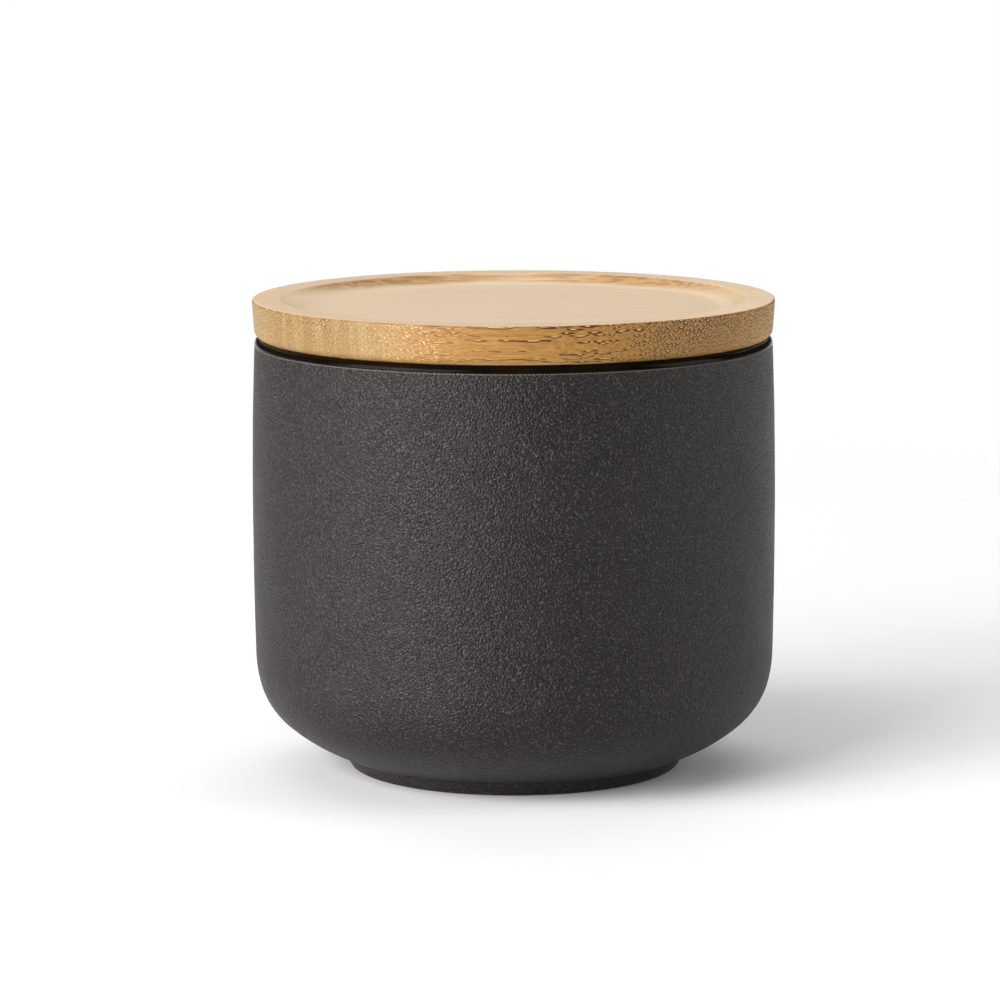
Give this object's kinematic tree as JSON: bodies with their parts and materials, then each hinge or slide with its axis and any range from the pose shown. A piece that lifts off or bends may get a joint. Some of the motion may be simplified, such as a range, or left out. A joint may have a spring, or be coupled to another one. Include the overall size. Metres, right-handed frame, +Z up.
{
  "type": "lidded sugar bowl",
  "caption": "Cylindrical stoneware sugar bowl with rounded base, small foot ring and a lift-off bamboo lid sealed by a silicone ring.",
  "frame": {"origin": "middle of the foot ring's underside, on the bowl's axis", "axes": "+Z up along the bowl's axis, +X along the fibres of the bamboo lid, -Y towards the viewer"},
  "size_m": [0.0828, 0.0828, 0.0745],
  "materials": {
    "stoneware": "matt charcoal outside, glossy black-brown glaze on the lip and inside",
    "bamboo": "turned and oiled bamboo, satin",
    "silicone": "translucent milky silicone, satin"
  },
  "bodies": {
    "bowl": {"bowl": "stoneware"},
    "seal": {"lid_seal": "silicone"},
    "lid": {"lid": "bamboo"}
  },
  "joints": [
    {"name": "lid_lift", "type": "slide", "parent": "bowl", "child": "seal", "axis": [0, 0, 1], "range_m": [0, 0.06]},
    {"name": "lid_turn", "type": "hinge", "parent": "seal", "child": "lid", "pos_m": [0, 0, 0.0685], "axis": [0, 0, 1], "continuous": true}
  ]
}
